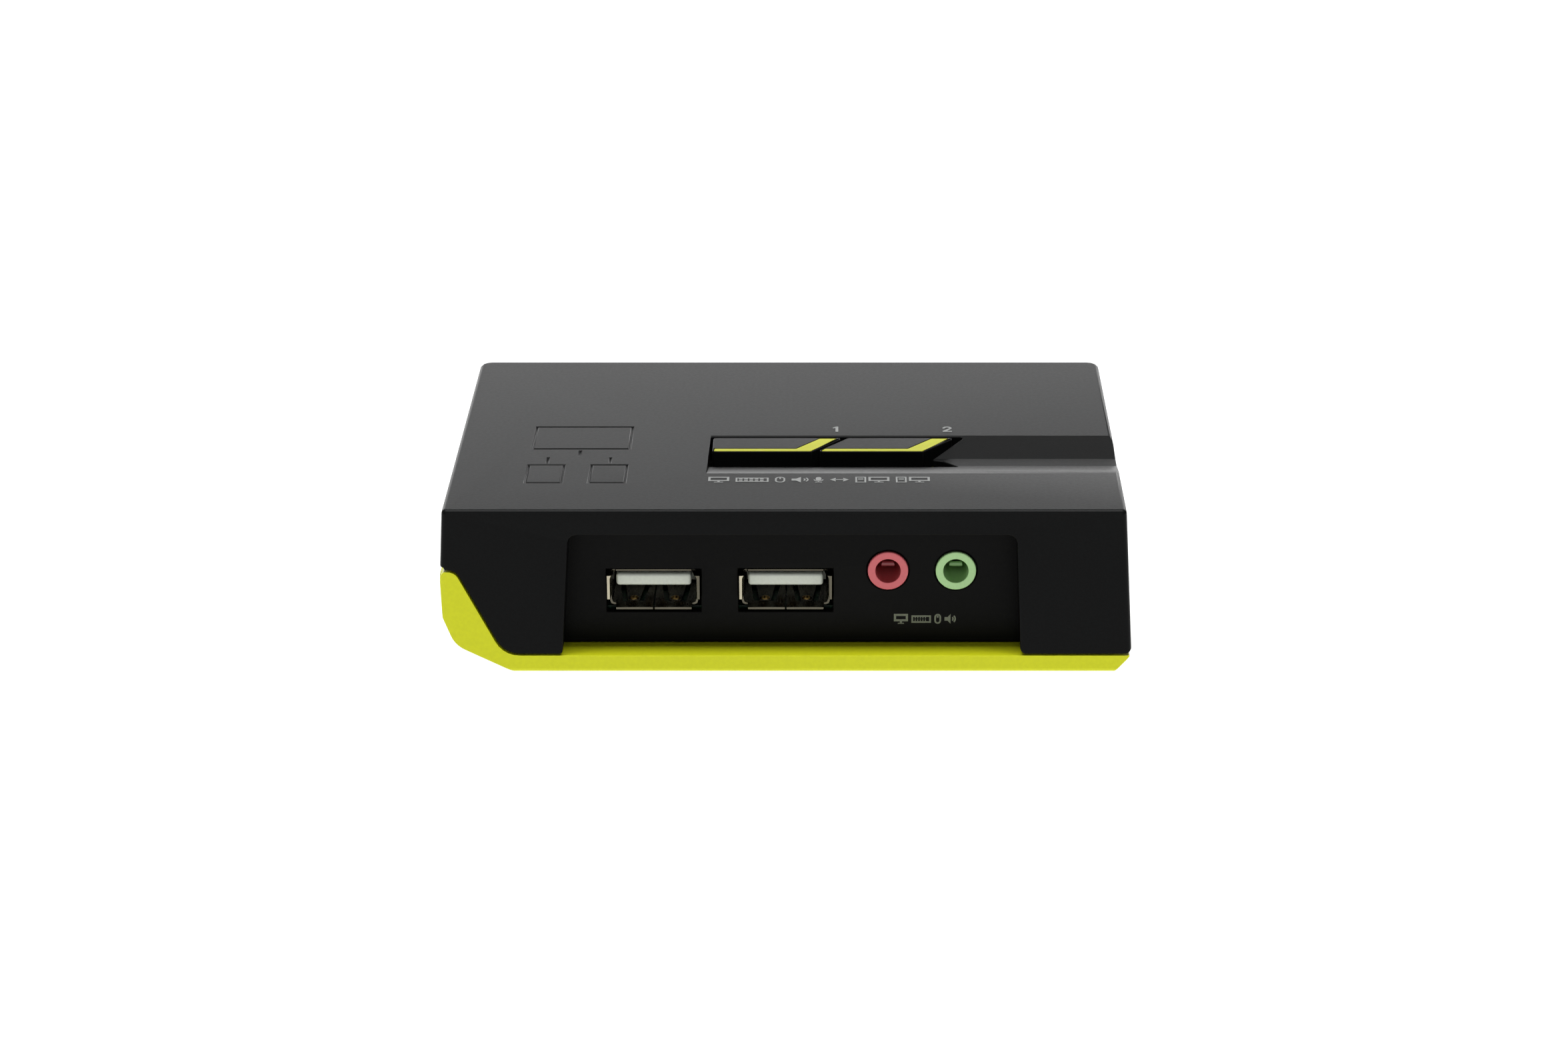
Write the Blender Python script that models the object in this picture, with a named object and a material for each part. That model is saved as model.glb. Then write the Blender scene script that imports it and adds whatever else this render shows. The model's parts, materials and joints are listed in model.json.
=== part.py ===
"""Two-port desktop KVM switch, as an assembly of its separate pieces.

Its origin is on the surface that it stands on, under the middle of the case. +X is to the right along the
front, the front faces -Y, and +Z is up. The lengths in this file are in millimetres, and MM turns them into metres.
"""

import math

import bmesh
import bpy
from mathutils import Vector

MM = 0.001
GAP = 0.3  # clearance between two pieces that touch
FAR = 60.0  # past every side of the case, for cutters that go right through

# Case: drafted walls, narrower at the top than at the bottom
BASE_Z, TOP_Z = 0.7, 26.0
HALF_WIDTH_LOW, HALF_WIDTH_HIGH = 51.23, 49.78
HALF_DEPTH_LOW, HALF_DEPTH_HIGH = 33.9, 33.3
CASE_EDGE = 0.6
FRONT_CORNER, BACK_CORNER = 0.8, 1.8  # radii of the upright corners
WALL_Y = 28.8  # inner faces of the front and back walls
CEILING_Z = 23.6
FLOOR_Z = 2.9
INNER_HALF_LOW, INNER_HALF_HIGH = 48.9, 47.6
SEAM_Z = 3.3  # top of the tray's lip
WRAP_Z = 16.4  # top of the tray's left wall
WRAP_HIGH_X, WRAP_LOW_X = -48.16, -41.4  # ends of the sloping seam between tray and cover
SEAM_SHIFT = 0.18  # sideways move of the seam's corners that leaves GAP along its slope
RIGHT_END_X = 50.75
COVER_RIGHT_X = 51.05  # the cover's lowest point on the right
NOTCH_X, NOTCH_HEIGHT = -49.8, 0.4  # notch in the cover over the tray's left tip

# The tray's left side as (x, z, radius) corners, from its underside up, and its left inner side as (x, z)
TRAY_LEFT = [(-39.75, BASE_Z - 0.05, 0), (-48.45, 4.95, 4.0), (-50.15, 9.3, 0), (-50.38, 14.6, 0)]
TRAY_TIP = [(-50.35, WRAP_Z - 0.7, 0), (-49.75, WRAP_Z, 0.5)]
TRAY_RIGHT = [(RIGHT_END_X, SEAM_Z, 0), (RIGHT_END_X, 3.1, 0), (48.5, BASE_Z - 0.05, 0)]
HOLLOW_LEFT = [(-48.2, 9.2), (-46.9, 6.3), (-40.9, FLOOR_Z)]
BACK_LEFT_Z, BACK_FLAT_X = 6.6, -41.0  # the tray's back edge rises from BACK_FLAT_X to the back opening's side

# Openings in the front and back walls
OPENING_TOP_Z = 22.2
FRONT_OPENING = {"low": (-32.7, 34.7), "high": (-31.5, 33.9)}
BACK_OPENING = {"low": (-46.2, 47.2), "high": (-46.2, 47.2)}
PANEL_THICK = {"front": 1.5, "back": 1.2}
PANEL_LOW_Z = 3.2
FRONT_PANEL_X = (-34.0, 36.2)
REAR_PANEL_XZ = [(-46.9, 23.3), (-46.9, 6.9), (-41.2, 3.6), (47.3, 3.6), (47.3, 23.3)]

# Groove and button window in the top
GROOVE_LEFT_X = -11.7
GROOVE_YZ = [(-1.6, 26.0), (-8.35, 24.7), (-11.35, 24.7), (-17.95, 26.0)]
WINDOW_XY = [(-11.7, -2.0), (-11.7, -12.3), (26.4, -12.3), (23.7, -9.45), (21.9, -8.9), (27.25, -2.0)]

MARK_LINE, MARK_DEPTH = 0.32, 0.2  # sunken lines of the picture on the top

# Buttons: left and right ends at the back edge and at the front edge
BUTTON_BACK_Y, BUTTON_FRONT_Y = -2.6, -8.65
BUTTON_LOW_Z = 22.9
BUTTON_ENDS = {
    1: {"back": (-11.2, 8.75), "front": (-11.2, 3.9), "stem_x": -4.0, "leg_x": 4.85},
    2: {"back": (9.35, 25.8), "front": (4.5, 20.8), "stem_x": 12.5, "leg_x": 21.85},
}
STEM_Y = -5.0
STEM_RADIUS = 2.0
STEM_LOW_Z = 13.4
LINE_WIDTH, BAND_WIDTH = 1.05, 3.15  # light guide: front line and end band
GUIDE_THICK = 0.6
GUIDE_GAP = 0.12
RIM = 0.15  # of the cap, around a light guide
LEG_HALF = 0.7
LEG_LOW_Z = 12.9

# Frame under the window
FRAME_X, FRAME_Y = (-15.0, 29.5), (-14.5, 1.0)
FRAME_Z = (20.4, 22.1)
RIB_X, RIB_Y, RIB_TOP_Z = (-11.3, 23.2), (-11.5, -9.2), 23.3

# Circuit board
BOARD_Z = (6.7, 8.3)
BOARD_X, BOARD_Y = (-45.5, 47.0), (-26.6, 25.8)
ON_BOARD_Z = BOARD_Z[1] + GAP
CHIPS = {  # middle, half sizes, and leads along each side
    "controller_chip": ((-21.0, 2.0), 5.0, 5.0, 12),
    "video_switch_chip_1": ((5.0, 4.5), 3.2, 2.0, 8),
    "video_switch_chip_2": ((15.0, 4.5), 3.2, 2.0, 8),
}
CRYSTAL_X, CRYSTAL_Y, CRYSTAL_TOP_Z = (-14.0, -3.5), (8.0, 12.4), 12.1

# Front sockets
USB_X = {1: -19.4, 2: 0.1}
USB_Z = 11.6
USB_HALF_WIDTH, USB_HALF_HEIGHT, USB_WALL = 6.55, 2.85, 0.3
USB_FRONT_Y, USB_BACK_Y = -27.4, -15.2
USB_LIP_Y, USB_FLARE, USB_LIP_THICK = -29.4, 0.3, 0.45
USB_CUT_HALF_WIDTH, USB_CUT_Z = 7.0, (8.1, 14.95)  # places for the shells in the front panel
USB_TOP_Y, USB_FLOOR_Y = -27.4, -28.75  # front edges of a shell's top and floor, behind the lips at its sides
TONGUE_HALF_WIDTH, TONGUE_THICK = 5.55, 1.84
TONGUE_FRONT_Y, CONTACT_FRONT_Y = -27.6, -26.0
CONTACT_X = (-3.5, -1.0, 1.0, 3.5)
JACK_X = {"mic": 15.2, "speaker": 25.2}
JACK_Z = 14.7
JACK_RING_RADIUS, JACK_BORE_RADIUS = 3.0, 1.87
JACK_GAP = 0.15  # around a ring, in the front panel
JACK_BODY_Y = (-26.7, -13.0)
JACK_RING_Y = -28.8

# Back sockets, 15 contacts each
PORT_X = {"pc_1": -30.3, "monitor": 0.7, "pc_2": 31.7}
PORT_Z = 14.9
FLANGE_SIZE, FLANGE_Y = (30.8, 12.5), (26.2, 27.0)
PORT_TIP_Y = 32.8
D_HALF_TOP, D_HALF_BOTTOM, D_HALF_HEIGHT, D_RADIUS, D_WALL = 8.45, 7.05, 4.15, 2.0, 0.5
PIN_PITCH, PIN_ROW_PITCH, PIN_RADIUS = 2.29, 1.98, 0.55
INSULATOR_BLOCK_Y = (18.5, 25.9)
JACKSCREW_REACH = 12.5  # from a socket's middle
HEX_ACROSS_FLATS = 5.0

# Switches and lamps on the board
SWITCH_HALF, SWITCH_TOP_Z = 3.0, 12.1
PLUNGER_RADIUS, PLUNGER_Z = 1.75, (11.4, 13.1)

CAPACITOR_XY = [(-42.0, -4.0), (24.0, 3.0), (31.0, 3.0)]

# Fasteners and feet
SCREW_HEAD_RADIUS, SCREW_RADIUS, SCREW_Z = 2.5, 1.2, (1.5, 15.6)
SCREW_XY = [(x, y) for x in (-34.5, 43.0) for y in (-20.0, 11.0)]
FOOT_XY = [(x, y) for x in (-33.5, 42.5) for y in (-28.0, 28.0)]
FOOT_RADIUS, FOOT_TOP_Z = 4.0, 1.3

BLACK = (0.022, 0.022, 0.021)
LIME = (0.56, 0.59, 0.012)
STEEL = (0.62, 0.61, 0.58)
GOLD = (0.76, 0.55, 0.22)
BLUE = (0.02, 0.06, 0.32)

PLACES = {
    "X": lambda u, v, w: (w, u, v),
    "Y": lambda u, v, w: (u, w, v),
    "Z": lambda u, v, w: (u, v, w),
}


# Shapes


def clear_scene():
    for obj in list(bpy.data.objects):
        bpy.data.objects.remove(obj, do_unlink=True)


def to_object(name, bm):
    bmesh.ops.scale(bm, vec=(MM, MM, MM), verts=bm.verts)
    bmesh.ops.recalc_face_normals(bm, faces=bm.faces)
    mesh = bpy.data.meshes.new(name)
    bm.to_mesh(mesh)
    bm.free()
    obj = bpy.data.objects.new(name, mesh)
    bpy.context.scene.collection.objects.link(obj)
    return obj


def add_prism(bm, outline, axis, low, high):
    place = PLACES[axis]
    bottom = [bm.verts.new(place(u, v, low)) for u, v in outline]
    top = [bm.verts.new(place(u, v, high)) for u, v in outline]
    bm.faces.new(bottom)
    bm.faces.new(top)
    join_rings(bm, bottom, top)


def join_rings(bm, low, high):
    """Faces between two rings of points, either of which may be a single point."""
    count = max(len(low), len(high))
    for k in range(count):
        following = (k + 1) % count
        corners = [low[k % len(low)], low[following % len(low)]]
        corners += [high[following % len(high)], high[k % len(high)]]
        bm.faces.new(list(dict.fromkeys(corners)))


def prism(name, outline, axis, low, high):
    """A closed outline pushed along an axis: (y, z) points for X, (x, z) for Y, (x, y) for Z."""
    bm = bmesh.new()
    add_prism(bm, outline, axis, low, high)
    return to_object(name, bm)


def rectangle(low_u, high_u, low_v, high_v):
    return [(low_u, low_v), (high_u, low_v), (high_u, high_v), (low_u, high_v)]


def boxes(name, spans):
    """One object of separate boxes, each given as its x, y and z spans."""
    bm = bmesh.new()
    for x, y, z in spans:
        add_prism(bm, rectangle(*x, *y), "Z", *z)
    return to_object(name, bm)


def box(name, x, y, z):
    return boxes(name, [(x, y, z)])


def around(middle, half):
    return (middle - half, middle + half)


def circle(middle, radius, sides, turn=0.0):
    angles = [turn + 2 * math.pi * k / sides for k in range(sides)]
    return [(middle[0] + radius * math.cos(a), middle[1] + radius * math.sin(a)) for a in angles]


def rods(name, middles, radius, axis, low, high, sides=16, turn=0.0):
    """One object of separate equal rods along an axis."""
    bm = bmesh.new()
    for middle in middles:
        add_prism(bm, circle(middle, radius, sides, turn), axis, low, high)
    return to_object(name, bm)


def rounded(corners, steps=3):
    """The outline through (u, v, radius) corners, with each corner turned on an arc of its radius."""
    points = []
    for k, (u, v, radius) in enumerate(corners):
        here = Vector((u, v))
        if not radius:
            points.append((u, v))
            continue
        back = (Vector(corners[k - 1][:2]) - here).normalized()
        ahead = (Vector(corners[(k + 1) % len(corners)][:2]) - here).normalized()
        half = back.angle(ahead) / 2
        middle = here + (back + ahead).normalized() * radius / math.sin(half)
        start = here + back * radius / math.tan(half) - middle
        end = here + ahead * radius / math.tan(half) - middle
        sweep = math.atan2(start.cross(end), start.dot(end))
        for step in range(steps + 1):
            angle = math.atan2(start.y, start.x) + sweep * step / steps
            points.append((middle.x + radius * math.cos(angle), middle.y + radius * math.sin(angle)))
    return points


def turned(name, middles, profile, axis, sides):
    """Separate equal solids of revolution: (radius, height) points from one end of the axis to the other."""
    bm = bmesh.new()
    place = PLACES[axis]
    for middle in middles:
        rings = []
        for radius, height in profile:
            ring = circle(middle, radius, sides) if radius else [middle]
            rings.append([bm.verts.new(place(u, v, height)) for u, v in ring])
        for low, high in zip(rings, rings[1:]):
            join_rings(bm, low, high)
        for end in (rings[0], rings[-1]):
            if len(end) > 1:
                bm.faces.new(end)
    return to_object(name, bm)


def tapered_block(name, half_x, half_y, z, radii=(0, 0)):
    """A block with its half sizes at the bottom and at the top, and the radii of its front and back corners."""
    bm = bmesh.new()
    rings = []
    for end in range(2):
        corners = rectangle(-half_x[end], half_x[end], -half_y[end], half_y[end])
        outline = rounded([(*corner, radii[k // 2]) for k, corner in enumerate(corners)])
        rings.append([bm.verts.new((u, v, z[end])) for u, v in outline])
        bm.faces.new(rings[end])
    join_rings(bm, *rings)
    return to_object(name, bm)


def loop_body(name, loops):
    """A closed ring-shaped solid through equal loops of points, the last joined to the first."""
    bm = bmesh.new()
    rings = [[bm.verts.new(point) for point in loop] for loop in loops]
    for k, ring in enumerate(rings):
        join_rings(bm, ring, rings[(k + 1) % len(rings)])
    return to_object(name, bm)


def combine(obj, operation, *others):
    for other in others:
        other.hide_render = True
        other.display_type = "WIRE"
        step = obj.modifiers.new(operation.lower() + "_" + other.name, "BOOLEAN")
        step.operation = operation
        step.solver = "EXACT"
        step.object = other
    return obj


def cut(obj, *cutters):
    return combine(obj, "DIFFERENCE", *cutters)


def join(obj, *others):
    return combine(obj, "UNION", *others)


def round_edges(obj, width, segments=2):
    step = obj.modifiers.new("rounded_edges", "BEVEL")
    step.width = width * MM
    step.segments = segments
    step.limit_method = "ANGLE"
    step.angle_limit = math.radians(40)
    return obj


def finish(obj, colour, roughness=0.5, metallic=0.0):
    material = bpy.data.materials.new(obj.name)
    material.use_nodes = True
    shader = material.node_tree.nodes["Principled BSDF"]
    shader.inputs["Base Color"].default_value = (*colour, 1.0)
    shader.inputs["Roughness"].default_value = roughness
    shader.inputs["Metallic"].default_value = metallic
    obj.data.materials.append(material)
    obj.data.shade_smooth()
    obj.data.set_sharp_from_angle(angle=math.radians(35))
    return obj


# Case


def case_block(name):
    half_x = (HALF_WIDTH_LOW, HALF_WIDTH_HIGH)
    half_y = (HALF_DEPTH_LOW, HALF_DEPTH_HIGH)
    block = tapered_block(name, half_x, half_y, (BASE_Z, TOP_Z), (FRONT_CORNER, BACK_CORNER))
    return round_edges(block, CASE_EDGE, 3)


def wall_opening(name, sides, low_y, high_y):
    """Cutter for the opening in one wall, which is open below, with the feet of its sides rounded."""
    foot_z = SEAM_Z + GAP - 0.05
    low_left, low_right = sides["low"]
    high_left, high_right = sides["high"]
    corners = [
        (low_left, foot_z, 0.6),
        (low_left - 3.0, foot_z, 0),
        (low_left - 3.0, 0.0, 0),
        (low_right + 3.0, 0.0, 0),
        (low_right + 3.0, foot_z, 0),
        (low_right, foot_z, 0.9),
        (high_right, OPENING_TOP_Z, 1.3),
        (high_left, OPENING_TOP_Z, 1.3),
    ]
    return prism(name, rounded(corners), "Y", low_y, high_y)


def frame_ring(name, x, y, line):
    """Cutter for a shallow rectangular line on the top face."""
    depth_z = TOP_Z - MARK_DEPTH
    inner = rectangle(x[0] + line, x[1] - line, y[0] + line, y[1] - line)
    outer = rectangle(*x, *y)
    loops = [[(u, v, z) for u, v in outline] for outline, z in
             ((outer, depth_z), (outer, FAR), (inner, FAR), (inner, depth_z))]
    return loop_body(name, loops)


def top_mark():
    """Cutters for the sunken picture on the top: a screen shared by two computers."""
    line = MARK_LINE
    sunken = (TOP_Z - MARK_DEPTH, FAR)
    screen = frame_ring("cut_screen", (-38.6, -23.6), (-7.6, 2.4), line)
    computers = [frame_ring("cut_computer", around(x, 2.8), (-22.0, -14.2), line) for x in (-35.8, -26.4)]
    links = boxes(
        "cut_links",
        [
            (around(-31.1, line / 2), (-10.6, -8.2), sunken),
            (around(-35.8, line / 2), (-13.6, -11.2), sunken),
            (around(-26.4, line / 2), (-13.6, -11.2), sunken),
        ],
    )
    return [screen, *computers, links]


def top_cover():
    cover = case_block("top_cover")
    low_z, left_z = SEAM_Z + GAP, WRAP_Z + GAP
    seam = [
        (-FAR, left_z + NOTCH_HEIGHT, 0),
        (NOTCH_X, left_z + NOTCH_HEIGHT, 0),
        (NOTCH_X + 0.2, left_z, 0),
        (WRAP_HIGH_X + SEAM_SHIFT, left_z, 2.0),
        (WRAP_LOW_X + SEAM_SHIFT, low_z, 3.6),
        (COVER_RIGHT_X, low_z, 0.9),
        (COVER_RIGHT_X + 0.1, TOP_Z + 2, 0),
        (-FAR, TOP_Z + 2, 0),
    ]
    combine(cover, "INTERSECT", prism("upper_region", rounded(seam, 5), "Y", -FAR, FAR))
    cavity = tapered_block(
        "cut_cavity", (INNER_HALF_LOW, INNER_HALF_HIGH), (WALL_Y, WALL_Y), (0.0, CEILING_Z)
    )
    groove = [(GROOVE_YZ[0][0], TOP_Z + 2), *GROOVE_YZ, (GROOVE_YZ[-1][0], TOP_Z + 2)]
    bosses = rods("cover_bosses", SCREW_XY, 3.2, "Z", ON_BOARD_Z, CEILING_Z + 0.4)
    cut(
        cover,
        cavity,
        wall_opening("cut_front_opening", FRONT_OPENING, -FAR, -WALL_Y + 1),
        wall_opening("cut_back_opening", BACK_OPENING, WALL_Y - 1, FAR),
        prism("cut_groove", groove, "X", GROOVE_LEFT_X, FAR),
    )
    join(cover, bosses)
    window = rounded([(x, y, 0.35) for x, y in WINDOW_XY], 2)
    cut(
        cover,
        prism("cut_window", window, "Z", CEILING_Z - 1, FAR),
        rods("cut_boss_bores", SCREW_XY, SCREW_RADIUS + GAP, "Z", 0.0, SCREW_Z[1] + 2.4),
        *top_mark(),
    )
    return finish(cover, BLACK, 0.55)


def base_tray():
    tray = case_block("base_tray")
    outline = [
        (-FAR, TRAY_TIP[0][1], 0),
        *TRAY_TIP,
        (WRAP_HIGH_X, WRAP_Z, 1.7),
        (WRAP_LOW_X, SEAM_Z, 3.9),
        *TRAY_RIGHT,
        (TRAY_RIGHT[-1][0], 0.0, 0),
        (TRAY_LEFT[0][0], 0.0, 0),
        *TRAY_LEFT,
        (-FAR, TRAY_LEFT[-1][1], 0),
    ]
    combine(tray, "INTERSECT", prism("lower_region", rounded(outline, 5), "Y", -FAR, FAR))
    hollow = [(HOLLOW_LEFT[0][0], FAR), *HOLLOW_LEFT, (INNER_HALF_LOW, FLOOR_Z), (INNER_HALF_LOW, FAR)]
    left_x, right_x = BACK_OPENING["low"]
    back_cut = [(left_x, FAR), (left_x, BACK_LEFT_Z), (BACK_FLAT_X, SEAM_Z), (right_x, SEAM_Z), (right_x, FAR)]
    cut(
        tray,
        prism("cut_hollow", hollow, "Y", -WALL_Y, WALL_Y),
        prism("cut_tray_back", back_cut, "Y", WALL_Y - 1, FAR),
    )
    join(tray, rods("tray_bosses", SCREW_XY, 3.7, "Z", FLOOR_Z - 0.5, BOARD_Z[0] - GAP))
    cut(
        tray,
        rods("cut_head_bores", SCREW_XY, SCREW_HEAD_RADIUS + 0.4, "Z", 0.0, SCREW_Z[0] + 1.9),
        rods("cut_shank_bores", SCREW_XY, SCREW_RADIUS + GAP, "Z", 3.0, FAR),
        rods("cut_foot_seats", FOOT_XY, FOOT_RADIUS + GAP, "Z", 0.0, FOOT_TOP_Z + GAP, 24),
    )
    return finish(tray, LIME, 0.4)


def front_panel():
    back_y = -WALL_Y + GAP + PANEL_THICK["front"]
    panel = box("front_panel", FRONT_PANEL_X, (-WALL_Y + GAP, back_y), (PANEL_LOW_Z, CEILING_Z - GAP))
    usb_cuts = [(around(x, USB_CUT_HALF_WIDTH), (-FAR, 0.0), USB_CUT_Z) for x in USB_X.values()]
    jack_middles = [(x, JACK_Z) for x in JACK_X.values()]
    cut(
        panel,
        boxes("cut_usb_places", usb_cuts),
        rods("cut_jack_places", jack_middles, JACK_RING_RADIUS + JACK_GAP, "Y", -FAR, 0.0, 32),
    )
    return finish(panel, BLACK, 0.6)


def port_outline(x, grow=0.0, steps=3):
    """The D shape of a back socket, wider at the top."""
    high, low = PORT_Z + D_HALF_HEIGHT + grow, PORT_Z - D_HALF_HEIGHT - grow
    corners = [
        (x - D_HALF_BOTTOM - grow, low, D_RADIUS + grow),
        (x + D_HALF_BOTTOM + grow, low, D_RADIUS + grow),
        (x + D_HALF_TOP + grow, high, D_RADIUS + grow),
        (x - D_HALF_TOP - grow, high, D_RADIUS + grow),
    ]
    return rounded(corners, steps)


def jackscrew_middles(x):
    return [(x - JACKSCREW_REACH, PORT_Z), (x + JACKSCREW_REACH, PORT_Z)]


def rear_panel():
    front_y = WALL_Y - GAP - PANEL_THICK["back"]
    panel = prism("rear_panel", REAR_PANEL_XZ, "Y", front_y, WALL_Y - GAP)
    for x in PORT_X.values():
        cut(panel, prism("cut_port_place", port_outline(x, 0.4), "Y", 0.0, FAR))
    middles = [middle for x in PORT_X.values() for middle in jackscrew_middles(x)]
    cut(panel, rods("cut_jackscrew_places", middles, 1.8, "Y", 0.0, FAR))
    return finish(panel, BLACK, 0.6)


# Buttons


def button_corners(number, radius):
    ends = BUTTON_ENDS[number]
    return [
        (ends["back"][0], BUTTON_BACK_Y, radius),
        (ends["front"][0], BUTTON_FRONT_Y, radius),
        (ends["front"][1], BUTTON_FRONT_Y, radius),
        (ends["back"][1], BUTTON_BACK_Y, radius),
    ]


def slants(number):
    """How far a button's left and right sides move in X for each millimetre in Y."""
    ends = BUTTON_ENDS[number]
    depth = BUTTON_BACK_Y - BUTTON_FRONT_Y
    return [(ends["back"][side] - ends["front"][side]) / depth for side in range(2)]


def guide_corners(number, grow, radius):
    """The L shape of a light guide: a line along the front, and a band along the slanted end."""
    ends = BUTTON_ENDS[number]
    left_slant, right_slant = slants(number)
    inset = RIM + GUIDE_GAP
    front_y, back_y = BUTTON_FRONT_Y + inset - grow, BUTTON_BACK_Y - inset + grow
    line_y = BUTTON_FRONT_Y + inset + LINE_WIDTH + grow

    def left(y):
        return ends["back"][0] + left_slant * (y - BUTTON_BACK_Y) + inset * math.hypot(1, left_slant) - grow

    def right(y):
        return ends["back"][1] + right_slant * (y - BUTTON_BACK_Y) - inset * math.hypot(1, right_slant) + grow

    def band(y):
        return right(y) - BAND_WIDTH - 2 * grow

    return [
        (left(front_y), front_y, radius),
        (right(front_y), front_y, radius),
        (right(back_y), back_y, radius),
        (band(back_y), back_y, 0),
        (band(line_y), line_y, radius),
        (left(line_y), line_y, 0),
    ]


def button(number):
    ends = BUTTON_ENDS[number]
    cap = prism(f"button_{number}", rounded(button_corners(number, 0.5)), "Z", BUTTON_LOW_Z, TOP_Z)
    round_edges(cap, 0.15)
    seat_z = TOP_Z - GUIDE_THICK - GUIDE_GAP
    seat = prism("cut_guide_seat", rounded(guide_corners(number, GUIDE_GAP, 0.4)), "Z", seat_z, FAR)
    leg = around(ends["leg_x"], LEG_HALF + GAP), around(STEM_Y, LEG_HALF + GAP)
    stem = rods("stem", [(ends["stem_x"], STEM_Y)], STEM_RADIUS, "Z", STEM_LOW_Z, BUTTON_LOW_Z + 1)
    cut(cap, seat, box("cut_leg_place", *leg, (0.0, seat_z + 0.05)))
    join(cap, stem)
    return finish(cap, BLACK, 0.5)


def light_guide(number):
    ends = BUTTON_ENDS[number]
    outline = rounded(guide_corners(number, 0.0, 0.3))
    guide = prism(f"light_guide_{number}", outline, "Z", TOP_Z - GUIDE_THICK, TOP_Z)
    round_edges(guide, 0.1)
    leg = around(ends["leg_x"], LEG_HALF), around(STEM_Y, LEG_HALF)
    join(guide, box("leg", *leg, (LEG_LOW_Z, TOP_Z - GUIDE_THICK / 2)))
    return finish(guide, LIME, 0.25)


def button_guide_frame():
    frame = box("button_guide_frame", FRAME_X, FRAME_Y, FRAME_Z)
    post_x, post_y = (FRAME_X[0] + 1.6, FRAME_X[1] - 1.4), (FRAME_Y[0] + 1.6, FRAME_Y[1] - 1.4)
    post_xy = [(x, y) for x in post_x for y in post_y]
    join(
        frame,
        box("rib", RIB_X, RIB_Y, (FRAME_Z[1] - 0.5, RIB_TOP_Z)),
        rods("posts", post_xy, 1.2, "Z", FRAME_Z[1] - 0.5, CEILING_Z - GAP),
    )
    stems = [(ends["stem_x"], STEM_Y) for ends in BUTTON_ENDS.values()]
    legs = [(around(ends["leg_x"], 1.5), around(STEM_Y, 1.5), (0.0, FAR)) for ends in BUTTON_ENDS.values()]
    cut(frame, rods("cut_stem_guides", stems, STEM_RADIUS + GAP, "Z", 0.0, FAR), boxes("cut_leg_guides", legs))
    return finish(frame, BLACK, 0.6)


def tact_switch(number):
    middle = (BUTTON_ENDS[number]["stem_x"], STEM_Y)
    x, y = around(middle[0], SWITCH_HALF), around(middle[1], SWITCH_HALF)
    body = box(f"tact_switch_{number}", x, y, (ON_BOARD_Z, SWITCH_TOP_Z))
    round_edges(body, 0.25)
    cut(body, rods("cut_plunger_well", [middle], PLUNGER_RADIUS + GAP, "Z", PLUNGER_Z[0] - 0.6, FAR))
    return finish(body, BLACK, 0.4)


def tact_plunger(number):
    middle = (BUTTON_ENDS[number]["stem_x"], STEM_Y)
    plunger = rods(f"tact_plunger_{number}", [middle], PLUNGER_RADIUS, "Z", *PLUNGER_Z)
    return finish(plunger, (0.55, 0.55, 0.52), 0.4)


def led(number):
    middle = (BUTTON_ENDS[number]["leg_x"], STEM_Y)
    shoulder_z, dome_z = ON_BOARD_Z + 0.8, 10.5
    dome = [(1.5 * math.cos(a), dome_z + 1.5 * math.sin(a)) for a in (0.0, 0.5, 1.0, 1.3)]
    profile = [(1.9, ON_BOARD_Z), (1.9, shoulder_z), (1.5, shoulder_z), *dome, (0, dome_z + 1.5)]
    return finish(turned(f"led_{number}", [middle], profile, "Z", 16), (0.7, 0.75, 0.6), 0.15)


def put_on_axis(name, pieces, x, y):
    """Hangs the pieces of one moving body on an empty that stands on the axis they slide along."""
    axis = bpy.data.objects.new(name, None)
    axis.location = (x * MM, y * MM, 0.0)
    bpy.context.scene.collection.objects.link(axis)
    for piece in pieces:
        piece.parent = axis
        piece.location = -axis.location


# Front sockets


def usb_loop(x, y, grow):
    half_x, half_z = USB_HALF_WIDTH + grow, USB_HALF_HEIGHT + grow
    outline = rounded([(*corner, 0.6) for corner in rectangle(*around(x, half_x), *around(USB_Z, half_z))], 2)
    return [(u, y, v) for u, v in outline]


def usb_shell(number):
    x = USB_X[number]
    sections = [
        (USB_BACK_Y, 0.0),
        (USB_FRONT_Y, 0.0),
        (USB_LIP_Y, USB_FLARE),
        (USB_LIP_Y, USB_FLARE - USB_LIP_THICK),
        (USB_FRONT_Y, -USB_WALL),
        (USB_BACK_Y, -USB_WALL),
    ]
    shell = loop_body(f"usb_{number}_shell", [usb_loop(x, y, grow) for y, grow in sections])
    gaps_z = [(USB_Z - 4.0, USB_Z - 1.2), (USB_Z + 2.6, USB_Z + 4.0)]
    gaps = [(around(x + side * 7.0, 1.4), (-FAR, USB_FRONT_Y + 0.1), z) for side in (-1, 1) for z in gaps_z]
    top_gap = box("cut_top_lip", around(x, 5.9), (-FAR, USB_TOP_Y), (USB_Z + 2.0, USB_Z + 4.0))
    floor_gap = box("cut_floor_lip", around(x, 5.9), (-FAR, USB_FLOOR_Y), (USB_Z - 4.0, USB_Z - 2.0))
    floor_z = around(USB_Z - USB_HALF_HEIGHT, USB_WALL + 0.3)
    seam = box("cut_floor_seam", around(x, 0.1), (-FAR, USB_BACK_Y - 1.0), floor_z)
    cut(shell, boxes("cut_lip_corners", gaps), top_gap, floor_gap, seam)
    for side in (-1, 1):
        cut(shell, spring_slot(x + side * 3.1))
    return finish(shell, STEEL, 0.3, 1.0)


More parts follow.
